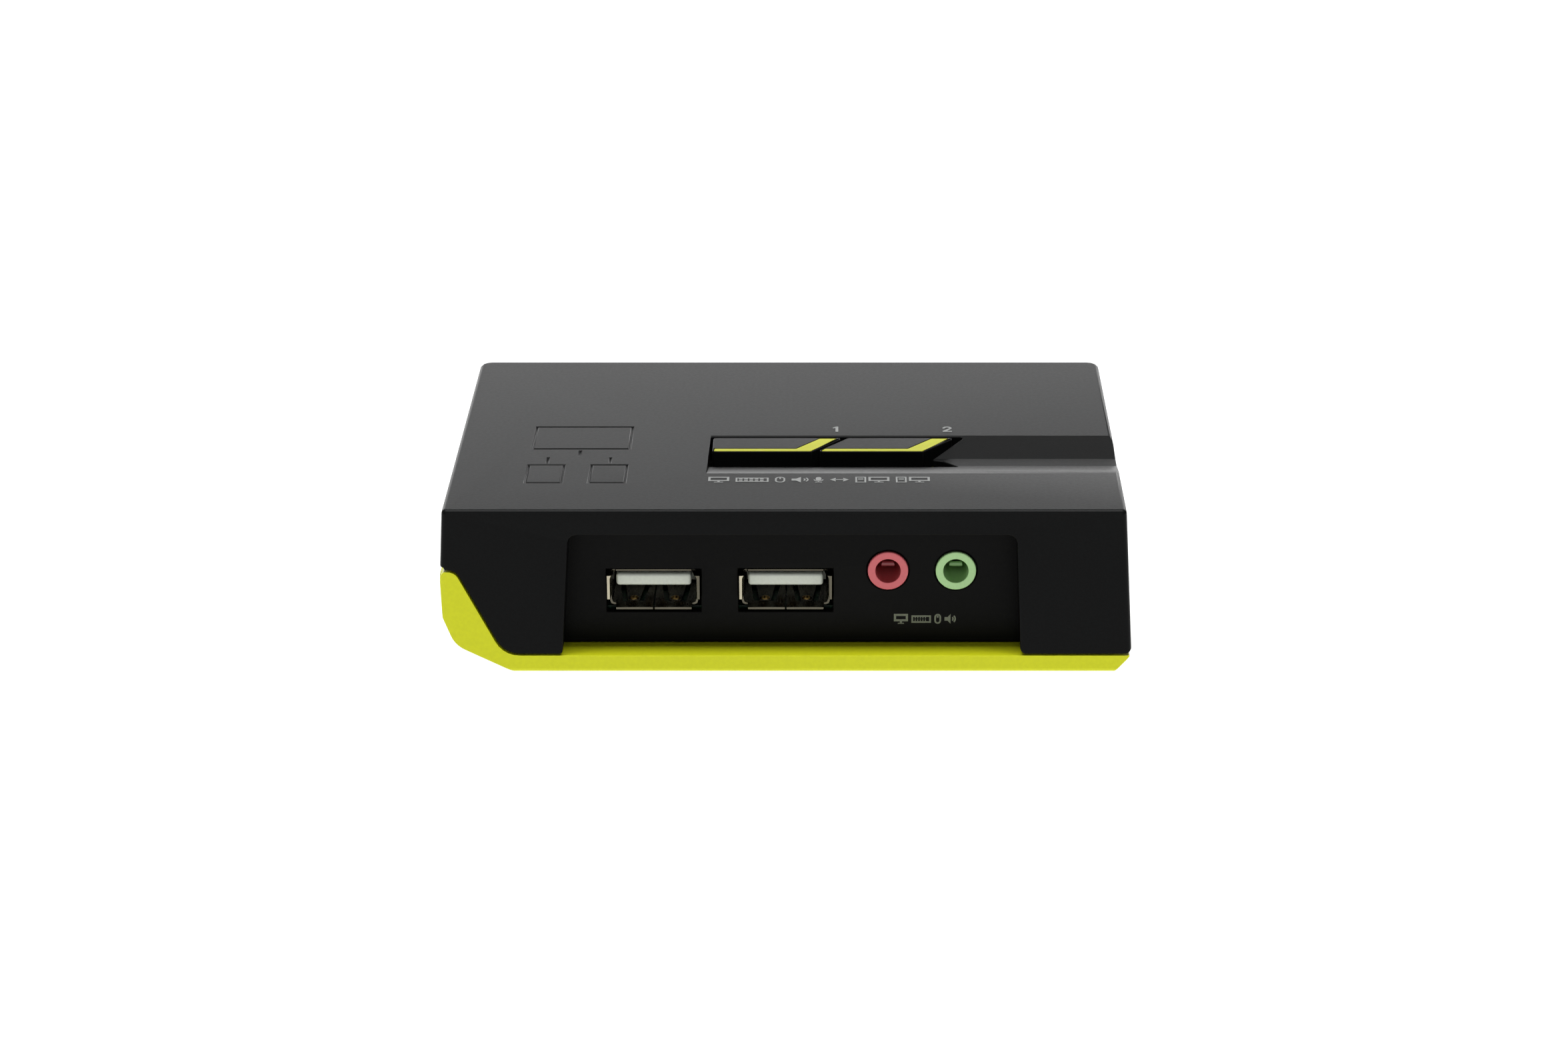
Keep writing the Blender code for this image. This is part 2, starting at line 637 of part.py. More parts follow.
def spring_slot(x):
    """Cutter for the slot around a spring tongue in a shell's floor, narrower at its free end."""
    front_y, back_y, line = -26.6, -20.0, 0.7
    outline = [
        (x - 2.2, back_y),
        (x - 1.6, front_y),
        (x + 1.6, front_y),
        (x + 2.2, back_y),
        (x + 2.2 - line, back_y),
        (x + 1.6 - line, front_y + line / 2),
        (x - 1.6 + line, front_y + line / 2),
        (x - 2.2 + line, back_y),
    ]
    floor_z = USB_Z - USB_HALF_HEIGHT
    return prism("cut_spring_slot", outline, "Z", floor_z - 0.5, floor_z + USB_WALL + 0.4)


def usb_insulator(number):
    x = USB_X[number]
    tongue_top = USB_Z + USB_HALF_HEIGHT - USB_WALL - 0.4
    half_x, half_z = USB_HALF_WIDTH - USB_WALL - GAP, USB_HALF_HEIGHT - USB_WALL - GAP
    block = box(f"usb_{number}_insulator", around(x, half_x), (-19.0, USB_BACK_Y), around(USB_Z, half_z))
    tongue_z = (tongue_top - TONGUE_THICK, tongue_top)
    tongue = box("tongue", around(x, TONGUE_HALF_WIDTH), (TONGUE_FRONT_Y, -18.0), tongue_z)
    slots = [(around(x + dx, 0.8), (CONTACT_FRONT_Y - 0.4, 0.0), around(contact_z(), 0.55)) for dx in CONTACT_X]
    join(block, round_edges(tongue, 0.45, 3))
    return finish(cut(block, boxes("cut_contact_slots", slots)), (0.75, 0.76, 0.72), 0.4)


def contact_z():
    """Height of the contacts, let into the underside of the tongue."""
    return USB_Z + USB_HALF_HEIGHT - USB_WALL - 0.4 - TONGUE_THICK


def usb_contacts(number):
    thick, tail_y = 0.25, USB_BACK_Y + 1.2
    strip = [
        (CONTACT_FRONT_Y, contact_z() - thick / 2),
        (tail_y, contact_z() - thick / 2),
        (tail_y, ON_BOARD_Z),
        (tail_y + thick, ON_BOARD_Z),
        (tail_y + thick, contact_z() + thick / 2),
        (CONTACT_FRONT_Y, contact_z() + thick / 2),
    ]
    for place, dx in enumerate(CONTACT_X, 1):
        contact = prism(f"usb_{number}_contact_{place}", strip, "X", *around(USB_X[number] + dx, 0.5))
        finish(contact, GOLD, 0.3, 1.0)


def jack_body(name, colour):
    x = JACK_X[name]
    middle = [(x, JACK_Z)]
    body = box(f"{name}_jack_body", around(x, 4.6), JACK_BODY_Y, (ON_BOARD_Z, 20.2))
    round_edges(body, 0.3)
    ring = [(JACK_RING_RADIUS - 0.1, JACK_RING_Y), (JACK_RING_RADIUS, JACK_RING_Y + 0.1)]
    ring.append((JACK_RING_RADIUS, JACK_BODY_Y[0] + 1))
    join(body, turned("ring", middle, ring, "Y", 32))
    spring_place = box("cut_spring_place", around(x, 0.9), (-27.6, -16.0), (JACK_Z + 1.0, JACK_Z + 2.5))
    cut(body, rods("cut_bore", middle, JACK_BORE_RADIUS, "Y", -FAR, -15.0, 32), spring_place)
    return finish(body, colour, 0.4)


def jack_contacts(name):
    x = JACK_X[name]
    spring = box(f"{name}_jack_contacts", around(x, 0.6), (-27.3, -16.4), (JACK_Z + 1.75, JACK_Z + 2.15))
    return finish(spring, STEEL, 0.3, 1.0)


# Back sockets


def port_shell(name):
    x = PORT_X[name]
    flange_x = around(x, FLANGE_SIZE[0] / 2)
    flange_z = around(PORT_Z, FLANGE_SIZE[1] / 2)
    shell = box(f"{name}_port_shell", flange_x, FLANGE_Y, flange_z)
    join(shell, prism("collar", port_outline(x), "Y", FLANGE_Y[0] + 0.2, PORT_TIP_Y))
    cut(
        shell,
        prism("cut_collar", port_outline(x, -D_WALL), "Y", 0.0, FAR),
        rods("cut_flange_holes", jackscrew_middles(x), 1.7, "Y", 0.0, FAR),
    )
    return finish(shell, STEEL, 0.35, 1.0)


def pin_places(x):
    """Middles of the contacts: three rows of five, the middle row moved half a pitch."""
    places = []
    for row in (-1, 0, 1):
        shift = PIN_PITCH / 4 if row == 0 else -PIN_PITCH / 4
        places += [(x + shift + PIN_PITCH * k, PORT_Z + PIN_ROW_PITCH * row) for k in range(-2, 3)]
    return places


def port_insulator(name):
    x = PORT_X[name]
    block = box(f"{name}_port_insulator", around(x, 15.1), INSULATOR_BLOCK_Y, around(PORT_Z, 6.0))
    face = port_outline(x, -D_WALL - 0.2, 3)
    join(block, prism("face", face, "Y", INSULATOR_BLOCK_Y[1] - 1, PORT_TIP_Y - 0.4))
    cut(
        block,
        rods("cut_contacts", pin_places(x), PIN_RADIUS, "Y", 28.5, FAR, 8),
        rods("cut_shanks", jackscrew_middles(x), 1.7, "Y", 0.0, INSULATOR_BLOCK_Y[1] + 0.2),
    )
    return finish(block, BLUE, 0.45)


def jackscrew(name, middle):
    corner_radius = HEX_ACROSS_FLATS / math.sqrt(3)
    head = rods(name, [middle], corner_radius, "Y", WALL_Y, 33.4, 6, math.pi / 6)
    join(head, rods("shank", [middle], 1.4, "Y", 20.5, WALL_Y + 0.5, 12))
    cut(head, rods("cut_thread", [middle], 1.35, "Y", 29.6, FAR, 16))
    return finish(head, STEEL, 0.3, 1.0)


# Circuit board and what it carries


def circuit_board():
    board = box("circuit_board", BOARD_X, BOARD_Y, BOARD_Z)
    cut(board, rods("cut_board_holes", SCREW_XY, 1.7, "Z", 0.0, FAR))
    return finish(board, (0.01, 0.13, 0.05), 0.35)


def chip(name, middle, half_x, half_y, leads):
    """A chip with its rows of leads along the two long sides."""
    x, y = middle
    body_z = (ON_BOARD_Z + 0.3, ON_BOARD_Z + 1.9)
    body = box(name, around(x, half_x), around(y, half_y), body_z)
    pitch = 2 * half_x / leads
    lead_x = [x - half_x + pitch * (k + 0.5) for k in range(leads)]
    rows = [(around(u, 0.25), around(y, half_y + 1.0), (ON_BOARD_Z, ON_BOARD_Z + 0.6)) for u in lead_x]
    return finish(join(body, boxes("leads", rows)), (0.02, 0.02, 0.022), 0.45)


def crystal():
    outline = rounded([(*corner, 1.9) for corner in rectangle(*CRYSTAL_X, *CRYSTAL_Y)], 4)
    return finish(round_edges(prism("crystal", outline, "Z", ON_BOARD_Z, CRYSTAL_TOP_Z), 0.4), STEEL, 0.3, 1.0)


def capacitor(name, middle):
    profile = [(2.4, ON_BOARD_Z), (2.5, 9.6), (2.2, 9.9), (2.5, 10.2), (2.5, 14.3), (2.2, 14.6)]
    return finish(turned(name, [middle], profile, "Z", 16), (0.05, 0.05, 0.09), 0.35)


# Fasteners and feet


def case_screw(name, middle):
    x, y = middle
    low_z, tip_z = SCREW_Z
    profile = [(SCREW_HEAD_RADIUS, low_z), (SCREW_HEAD_RADIUS, low_z + 1.1)]
    profile.append((SCREW_HEAD_RADIUS - 0.3, low_z + 1.6))
    profile += [(SCREW_RADIUS, low_z + 1.6), (SCREW_RADIUS, tip_z - 1.0), (0.5, tip_z)]
    screw = turned(name, [middle], profile, "Z", 16)
    slots = [(around(x, 1.5), around(y, 0.35)), (around(x, 0.35), around(y, 1.5))]
    cut(screw, *[box("cut_slot", *slot, (0.0, low_z + 0.6)) for slot in slots])
    return finish(screw, STEEL, 0.35, 1.0)


def rubber_foot(name, middle):
    profile = [(FOOT_RADIUS - 0.4, 0.0), (FOOT_RADIUS, 0.4), (FOOT_RADIUS, FOOT_TOP_Z)]
    return finish(turned(name, [middle], profile, "Z", 24), (0.03, 0.03, 0.03), 0.85)


def one_each(make, name, middles):
    """Makes the same piece at each place, numbered from 1."""
    for number, middle in enumerate(middles, 1):
        make(f"{name}_{number}", middle)


def main():
    clear_scene()
    top_cover()
    base_tray()
    front_panel()
    rear_panel()
    button_guide_frame()
    circuit_board()
    for number, ends in BUTTON_ENDS.items():
        put_on_axis(f"button_{number}_axis", [button(number), light_guide(number)], ends["stem_x"], STEM_Y)
        put_on_axis(f"tact_plunger_{number}_axis", [tact_plunger(number)], ends["stem_x"], STEM_Y)
        tact_switch(number)
        led(number)
        usb_shell(number)
        usb_insulator(number)
        usb_contacts(number)
    for name, colour in (("mic", (0.72, 0.2, 0.22)), ("speaker", (0.4, 0.62, 0.32))):
        jack_body(name, colour)
        jack_contacts(name)
    for name in PORT_X:
        port_shell(name)
        port_insulator(name)
    one_each(jackscrew, "jackscrew", [middle for x in PORT_X.values() for middle in jackscrew_middles(x)])
    for name, sizes in CHIPS.items():
        chip(name, *sizes)
    crystal()
    one_each(capacitor, "electrolytic_capacitor", CAPACITOR_XY)
    one_each(case_screw, "case_screw", SCREW_XY)
    one_each(rubber_foot, "rubber_foot", FOOT_XY)


main()
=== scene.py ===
"""The looks of the two-port KVM switch: fine surfaces, prints, small parts, materials, lights and camera.

Lengths are in millimetres where a name or a call takes them, and MM turns them into Blender's metres.
"""

import json
import math

import bmesh
import bpy
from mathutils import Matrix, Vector


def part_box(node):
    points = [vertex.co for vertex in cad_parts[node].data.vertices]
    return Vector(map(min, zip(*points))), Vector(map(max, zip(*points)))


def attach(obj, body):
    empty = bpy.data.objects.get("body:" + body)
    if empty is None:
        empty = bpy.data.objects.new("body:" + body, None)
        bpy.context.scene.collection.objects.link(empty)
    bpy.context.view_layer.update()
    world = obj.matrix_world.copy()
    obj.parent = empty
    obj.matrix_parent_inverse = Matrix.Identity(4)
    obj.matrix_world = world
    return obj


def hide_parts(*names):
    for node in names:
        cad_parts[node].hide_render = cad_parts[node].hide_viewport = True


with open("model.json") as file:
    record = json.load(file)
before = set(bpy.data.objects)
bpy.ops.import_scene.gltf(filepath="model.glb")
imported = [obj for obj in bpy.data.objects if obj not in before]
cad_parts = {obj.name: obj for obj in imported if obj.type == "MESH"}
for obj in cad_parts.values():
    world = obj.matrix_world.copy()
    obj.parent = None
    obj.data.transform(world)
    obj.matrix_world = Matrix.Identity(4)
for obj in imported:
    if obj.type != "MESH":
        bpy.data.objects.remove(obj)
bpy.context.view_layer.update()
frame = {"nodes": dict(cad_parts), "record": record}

MM = 0.001
CASE = "case"
INK_THICK = 0.025


def low_high(node):
    """The lowest and highest corners of a node, in millimetres."""
    low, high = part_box(node)
    return low / MM, high / MM


TOP_Z = low_high("top_cover")[1].z
PANEL_Y = low_high("front_panel")[0].y
BACK_PANEL_Y = low_high("rear_panel")[1].y
BOARD_TOP_Z = low_high("circuit_board")[1].z
PORTS = ("pc_1", "monitor", "pc_2")
JACKS = ("mic", "speaker")
USB_SHELLS = ("usb_1_shell", "usb_2_shell")


def middle(node):
    low, high = low_high(node)
    return (low + high) / 2


# Shapes

PLACES = {
    "X": lambda u, v, w: (w, u, v),
    "Y": lambda u, v, w: (u, w, v),
    "Z": lambda u, v, w: (u, v, w),
}


def to_object(name, bm, material, body=CASE, smooth_below=35):
    """Turns a bmesh in millimetres into a piece that rides on a body."""
    bmesh.ops.scale(bm, vec=(MM, MM, MM), verts=bm.verts)
    bmesh.ops.recalc_face_normals(bm, faces=bm.faces)
    mesh = bpy.data.meshes.new(name)
    bm.to_mesh(mesh)
    bm.free()
    mesh.materials.append(material)
    mesh.shade_smooth()
    mesh.set_sharp_from_angle(angle=math.radians(smooth_below))
    obj = bpy.data.objects.new(name, mesh)
    bpy.context.scene.collection.objects.link(obj)
    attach(obj, body)
    return obj


def join_rings(bm, low, high):
    count = max(len(low), len(high))
    for k in range(count):
        following = (k + 1) % count
        corners = [low[k % len(low)], low[following % len(low)]]
        corners += [high[following % len(high)], high[k % len(high)]]
        bm.faces.new(list(dict.fromkeys(corners)))


def add_prism(bm, outline, axis, low, high):
    place = PLACES[axis]
    bottom = [bm.verts.new(place(u, v, low)) for u, v in outline]
    top = [bm.verts.new(place(u, v, high)) for u, v in outline]
    bm.faces.new(bottom)
    bm.faces.new(top)
    join_rings(bm, bottom, top)


def rectangle(low_u, high_u, low_v, high_v):
    return [(low_u, low_v), (high_u, low_v), (high_u, high_v), (low_u, high_v)]


def around(middle_value, half):
    return (middle_value - half, middle_value + half)


def circle(u, v, radius, sides=24, start=0.0, sweep=2 * math.pi):
    count = sides if sweep >= 2 * math.pi else sides + 1
    angles = [start + sweep * k / sides for k in range(count)]
    return [(u + radius * math.cos(a), v + radius * math.sin(a)) for a in angles]


def capsule(u, low_v, high_v, radius):
    """An upright outline with round ends, whose middles are at low_v and high_v."""
    return circle(u, high_v, radius, 8, 0, math.pi) + circle(u, low_v, radius, 8, math.pi, math.pi)


def add_ring(bm, outer, inner, axis, low, high):
    """A flat ring between two outlines with the same number of points."""
    place = PLACES[axis]
    loops = [(outer, low), (outer, high), (inner, high), (inner, low)]
    rings = [[bm.verts.new(place(u, v, w)) for u, v in outline] for outline, w in loops]
    for k, ring in enumerate(rings):
        join_rings(bm, ring, rings[(k + 1) % 4])


def add_round_bar(bm, points, radius, sides=8):
    """A round wire through the points."""
    rings = []
    for k, point in enumerate(points):
        here = Vector(point)
        before = Vector(points[max(k - 1, 0)])
        after = Vector(points[min(k + 1, len(points) - 1)])
        along = (after - before).normalized()
        side = along.cross(Vector((1, 0, 0)) if abs(along.x) < 0.9 else Vector((0, 1, 0))).normalized()
        up = along.cross(side)
        rings.append([bm.verts.new(here + side * u + up * v) for u, v in circle(0, 0, radius, sides)])
    for low, high in zip(rings, rings[1:]):
        join_rings(bm, low, high)
    bm.faces.new(rings[0])
    bm.faces.new(rings[-1])


# Materials


def new_material(name):
    material = bpy.data.materials.new(name)
    material.use_nodes = True
    return material, material.node_tree, material.node_tree.nodes["Principled BSDF"]


def add_node(tree, kind, settings=None, **inputs):
    node = tree.nodes.new(kind)
    for key, value in (settings or {}).items():
        setattr(node, key, value)
    for key, value in inputs.items():
        socket = node.inputs[key.replace("_", " ")]
        if isinstance(value, bpy.types.NodeSocket):
            tree.links.new(value, socket)
        else:
            socket.default_value = value
    return node


def noise_at(tree, size_mm, detail=2.0, stretch=None, seed=0.0):
    """A noise fixed to the piece, with features about size_mm across, longer where a stretch is under 1."""
    place = add_node(tree, "ShaderNodeTexCoord").outputs["Object"]
    scale = stretch or (1.0, 1.0, 1.0)
    mapping = add_node(tree, "ShaderNodeMapping", Vector=place, Scale=scale, Location=(seed, seed, seed))
    noise = add_node(tree, "ShaderNodeTexNoise", Scale=1.0 / (size_mm * MM), Detail=detail)
    tree.links.new(mapping.outputs["Vector"], noise.inputs["Vector"])
    return noise.outputs["Fac"]


def spread(tree, factor, low, high):
    """Maps 0.3 to 0.7, the middle range of a noise, to low..high."""
    ranged = add_node(tree, "ShaderNodeMapRange", Value=factor)
    ranged.inputs["From Min"].default_value = 0.3
    ranged.inputs["From Max"].default_value = 0.7
    ranged.inputs["To Min"].default_value = low
    ranged.inputs["To Max"].default_value = high
    return ranged.outputs["Result"]


def tinted(tree, colour, amount):
    """The colour scaled by a factor that varies over the surface."""
    mix = add_node(tree, "ShaderNodeVectorMath", {"operation": "SCALE"})
    mix.inputs[0].default_value = colour
    tree.links.new(amount, mix.inputs["Scale"])
    return mix.outputs["Vector"]


def edge_factor(tree, low=0.52, high=0.6):
    """Near 1 on outer edges and 0 elsewhere."""
    geometry = add_node(tree, "ShaderNodeNewGeometry")
    ranged = add_node(tree, "ShaderNodeMapRange", Value=geometry.outputs["Pointiness"])
    ranged.inputs["From Min"].default_value = low
    ranged.inputs["From Max"].default_value = high
    return ranged.outputs["Result"]


def product(tree, one, other):
    """The product of two varying values."""
    times = add_node(tree, "ShaderNodeMath", {"operation": "MULTIPLY"})
    tree.links.new(one, times.inputs[0])
    tree.links.new(other, times.inputs[1])
    return times.outputs["Value"]


def openness(tree, reach_mm):
    """1 where nothing stands over the surface within reach_mm, less in gaps and hollows; a painted-shade
    mask.
    """
    node = add_node(tree, "ShaderNodeAmbientOcclusion", {"samples": 8}, Distance=reach_mm * MM)
    return node.outputs["AO"]


def moulded(name, colour, roughness, grain_mm=0.3, depth_mm=0.006, vary=0.08, wear=0.25, gap_mm=0, **direct):
    """Moulded plastic: spark-eroded grain, slow colour variation, and worn edges that are paler.

    With gap_mm, it has painted shade where something stands closer than that.
    """
    material, tree, shader = new_material(name)
    slow = spread(tree, noise_at(tree, 14.0, 3.0), 1 - vary / 3, 1 + vary / 3)
    fine = spread(tree, noise_at(tree, grain_mm * 1.6, 2.0, seed=0.3), 1 - vary, 1 + vary)
    wear_or_lit_side = add_node(tree, "ShaderNodeMath", {"operation": "MULTIPLY_ADD"})
    tree.links.new(edge_factor(tree), wear_or_lit_side.inputs[0])
    wear_or_lit_side.inputs[1].default_value = wear
    tree.links.new(product(tree, slow, fine), wear_or_lit_side.inputs[2])
    amount = wear_or_lit_side.outputs[0]
    if gap_mm:
        # painted shade in gaps narrower than gap_mm
        amount = product(tree, amount, spread(tree, openness(tree, gap_mm), 0.03, 1.0))
    tree.links.new(tinted(tree, colour, amount), shader.inputs["Base Color"])
    gloss = spread(tree, noise_at(tree, grain_mm * 2.5, 3.0, seed=0.7), roughness - 0.02, roughness + 0.02)
    tree.links.new(gloss, shader.inputs["Roughness"])
    grain = noise_at(tree, grain_mm, 3.0)
    bump = add_node(tree, "ShaderNodeBump", Height=grain, Strength=1.0, Distance=depth_mm * MM)
    tree.links.new(bump.outputs["Normal"], shader.inputs["Normal"])
    for key, value in direct.items():
        shader.inputs[key.replace("_", " ")].default_value = value
    return material


def paint_side_shade(tree, value):
    """Paints shade on a sheet-metal shell everywhere but on its left side, above the lower corner."""
    across = add_node(tree, "ShaderNodeTexCoord").outputs["Generated"]
    place = add_node(tree, "ShaderNodeSeparateXYZ", Vector=across)
    # painted light: near 1 on the shell's left side above its lower corner, the side that looks lit
    wear_or_lit_side = add_node(tree, "ShaderNodeMath", {"operation": "MULTIPLY"})
    for number, (axis, low, high) in enumerate((("X", 0.1, 0.07), ("Z", 0.3, 0.34))):
        near = add_node(tree, "ShaderNodeMapRange", Value=place.outputs[axis])
        near.inputs["From Min"].default_value = low
        near.inputs["From Max"].default_value = high
        tree.links.new(near.outputs["Result"], wear_or_lit_side.inputs[number])
    return product(tree, value, spread(tree, wear_or_lit_side.outputs[0], 0.24, 1.0))


DRAWN = (1.0, 0.15, 1.0)  # streaks run from front to back


def metal(name, colour, roughness, tarnish=0.12, scratch_mm=0.25, painted_side_shade=False):
    """Plated metal with drawn streaks, a little tarnish, and painted shade deep inside a socket."""
    material, tree, shader = new_material(name)
    streaks = noise_at(tree, scratch_mm, 3.0, DRAWN)
    cloud = noise_at(tree, 2.5, 3.0, seed=0.5)
    # painted shade: the colour drops to a fifth in hollows, such as deep inside a socket
    hollow_shade = add_node(tree, "ShaderNodeMapRange", Value=openness(tree, 4.0))
    hollow_shade.inputs["From Min"].default_value = 0.3
    hollow_shade.inputs["From Max"].default_value = 0.5
    hollow_shade.inputs["To Min"].default_value = 0.2
    hollow_shade.inputs["To Max"].default_value = 1.0
    amount = product(tree, spread(tree, cloud, 1 - tarnish, 1 + tarnish / 2), hollow_shade.outputs["Result"])
    if painted_side_shade:
        # painted shade on every side of the shell but its left one
        amount = paint_side_shade(tree, amount)
    tree.links.new(tinted(tree, colour, amount), shader.inputs["Base Color"])
    tree.links.new(spread(tree, streaks, roughness - 0.04, roughness + 0.05), shader.inputs["Roughness"])
    bump = add_node(tree, "ShaderNodeBump", Height=streaks, Strength=0.5, Distance=0.0006 * MM)
    tree.links.new(bump.outputs["Normal"], shader.inputs["Normal"])
    shader.inputs["Metallic"].default_value = 1.0
    return material


def board_mask(name):
    """Dark green mask, partly painted shade, over copper tracks, which show as slightly paler raised lines.
    """
    material, tree, shader = new_material(name)
    place = add_node(tree, "ShaderNodeTexCoord").outputs["Object"]
    tracks = add_node(tree, "ShaderNodeTexBrick", Scale=260.0)
    tree.links.new(place, tracks.inputs["Vector"])
    tracks.inputs["Mortar Size"].default_value = 0.03
    tracks.inputs["Color1"].default_value = (0.0015, 0.012, 0.006, 1)
    tracks.inputs["Color2"].default_value = (0.002, 0.015, 0.008, 1)
    tracks.inputs["Mortar"].default_value = (0.006, 0.045, 0.02, 1)
    tree.links.new(tracks.outputs["Color"], shader.inputs["Base Color"])
    tree.links.new(spread(tree, noise_at(tree, 1.5), 0.25, 0.4), shader.inputs["Roughness"])
    bump = add_node(tree, "ShaderNodeBump", Height=tracks.outputs["Fac"], Strength=1.0, Distance=0.03 * MM)
    tree.links.new(bump.outputs["Normal"], shader.inputs["Normal"])
    return material


LIME = (0.62, 0.65, 0.012)
BLACK = (0.0036, 0.0038, 0.0038)
PANEL_BLACK = (0.003, 0.003, 0.0028)
M = {
    "case_black": moulded("case_black", BLACK, 0.37, 0.22, 0.008, 0.12, Specular_IOR_Level=0.06),
    "panel_black": moulded("panel_black", PANEL_BLACK, 0.45, 0.3, 0.008, 0.1, Specular_IOR_Level=0.06),
    "button_black": moulded("button_black", BLACK, 0.37, 0.3, 0.008, 0.1, Specular_IOR_Level=0.06),
    "lime_plastic": moulded("lime_plastic", LIME, 0.42, 0.35, 0.01, 0.03, 0.04, Specular_IOR_Level=0.2),
    "lime_translucent": moulded(
        "lime_translucent", (0.28, 0.29, 0.006), 0.4, 0.25, 0.003, 0.03, 0.05, Specular_IOR_Level=0.1,
        Subsurface_Weight=0.15, Subsurface_Scale=0.0005,
    ),
    "steel": metal("steel", (0.37, 0.36, 0.33), 0.25),
    # shell_steel has painted shade on all but the left side of each USB shell
    "shell_steel": metal("shell_steel", (0.42, 0.385, 0.29), 0.25, painted_side_shade=True),
    "contact_gold": metal("contact_gold", (0.78, 0.52, 0.2), 0.25),
    "insulator_white": moulded("insulator_white", (0.6, 0.635, 0.56), 0.4, 0.25, 0.004, 0.04, 0.05),
    "insulator_blue": moulded("insulator_blue", (0.005, 0.02, 0.14), 0.42, 0.25, 0.005, 0.08),
    # the jack rings have painted shade in gaps narrower than 0.5 mm
    "jack_pink": moulded("jack_pink", (0.62, 0.115, 0.13), 0.38, 0.25, 0.004, 0.04, 0.08, 0.5),
    "jack_green": moulded("jack_green", (0.4, 0.66, 0.29), 0.38, 0.25, 0.004, 0.04, 0.08, 0.5),
    # darker copies of the jack colours, as painted shade for the contact fingers inside the bores
    "jack_pink_painted_shade": moulded("jack_pink_painted_shade", (0.16, 0.022, 0.028), 0.38, 0.25, 0.004, 0.04, 0.08),
    "jack_green_painted_shade": moulded("jack_green_painted_shade", (0.11, 0.22, 0.075), 0.38, 0.25, 0.004, 0.04, 0.08),
    "board_green": board_mask("board_green"),
    "chip_black": moulded("chip_black", (0.014, 0.014, 0.015), 0.5, 0.15, 0.006, 0.15),
    "can_dark": moulded("can_dark", (0.03, 0.03, 0.06), 0.3, 0.4, 0.003, 0.1),
    "plunger_grey": moulded("plunger_grey", (0.5, 0.5, 0.47), 0.4, 0.2, 0.004, 0.05),
    "led_clear": moulded("led_clear", (0.7, 0.78, 0.5), 0.12, 0.4, 0.001, 0.03, 0.0, Transmission_Weight=0.7),
    "rubber": moulded("rubber", (0.018, 0.018, 0.018), 0.85, 0.2, 0.012, 0.15),
}
INK_PALE = moulded("ink_pale", (0.15, 0.155, 0.15), 0.6, 0.15, 0.003, 0.12, 0.0)
INK_DIM = moulded("ink_dim", (0.15, 0.165, 0.12), 0.6, 0.15, 0.003, 0.12, 0.0)


# Fine surfaces of the frame's own pieces

# bevel width in mm of every sharp edge, by material slot
SOFT_EDGE = {
    "case_black": 0.12,
    "panel_black": 0.15,
    "button_black": 0.035,
    "lime_plastic": 0.05,
    "lime_translucent": 0.08,
    "steel": 0.05,
    "insulator_white": 0.08,
    "insulator_blue": 0.08,
    "jack_pink": 0.08,
    "jack_green": 0.08,
    "board_green": 0.08,
    "rubber": 0.15,
}


def clean_copy(node):
    """A bmesh of a node, sewn together, with flat stretches joined into whole faces, in millimetres."""
    bm = bmesh.new()
    bm.from_mesh(frame["nodes"][node].data)
    bmesh.ops.scale(bm, vec=(1 / MM,) * 3, verts=bm.verts)
    bmesh.ops.remove_doubles(bm, verts=bm.verts, dist=0.002)
    bmesh.ops.dissolve_limit(bm, angle_limit=math.radians(0.4), verts=bm.verts, edges=bm.edges)
    return bm


def width_of(face):
    """About how wide a long face is."""
    return face.calc_area() / max(edge.calc_length() for edge in face.edges)


def is_crease(edge):
    """A shallow corner between two wide faces, unlike the strips of a rounded edge."""
    wide = len(edge.link_faces) == 2 and min(width_of(face) for face in edge.link_faces) > 1.5
    return wide and edge.calc_face_angle(0) > math.radians(5)


def fine_piece(node, slot, body):
    bm = clean_copy(node)
    creases = [k for k, edge in enumerate(bm.edges) if is_crease(edge)]
    # USB shells take shell_steel, with its painted shade on all but the left side
    look = M["shell_steel"] if node in USB_SHELLS else M[slot]
    obj = to_object(node + "_surface", bm, look, body)
    for k in creases:
        obj.data.edges[k].use_edge_sharp = True
    soften(obj, SOFT_EDGE.get(slot, 0.05))
    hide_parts(node)
    return obj


def soften(obj, width_mm, segments=2):
    """Rounds the sharp edges, and keeps the wide faces looking flat beside them."""
    bevel = obj.modifiers.new("soft_edges", "BEVEL")
    bevel.width = width_mm * MM
    bevel.segments = segments
    bevel.limit_method = "ANGLE"
    bevel.angle_limit = math.radians(40)
    bevel.use_clamp_overlap = False
    flat = obj.modifiers.new("flat_faces", "WEIGHTED_NORMAL")
    flat.keep_sharp = True


SLOT_OF = {part["node"]: part["material_slot"] for part in frame["record"]["subparts"]}
BODY_OF = {node: body for body, nodes in frame["record"]["behaviour"]["bodies"].items() for node in nodes}
for node_name in sorted(frame["nodes"]):
    fine_piece(node_name, SLOT_OF[node_name], BODY_OF[node_name])


# Prints


class Ink:
    """Flat printed shapes on one face, drawn in the face's own axes, u to the right and v up."""

    def __init__(self, axis, face, outward):
        self.bm = bmesh.new()
        self.axis, self.low, self.high = axis, face, face + outward * INK_THICK

    def shape(self, outline):
        add_prism(self.bm, outline, self.axis, self.low, self.high)

    def bar(self, u, v):
        self.shape(rectangle(*u, *v))

    def frame(self, u, v, line):
        inner = rectangle(u[0] + line, u[1] - line, v[0] + line, v[1] - line)
        add_ring(self.bm, rectangle(*u, *v), inner, self.axis, self.low, self.high)

    def arc(self, u, v, radius, line, start, end, sides=12):
        outer = circle(u, v, radius, sides, start, end - start)
        inner = circle(u, v, radius - line, sides, start, end - start)
        self.shape(outer + inner[::-1])

    def disc(self, u, v, radius):
        self.shape(circle(u, v, radius, 16))

    def finish(self, name, material):
        return to_object(name, self.bm, material)


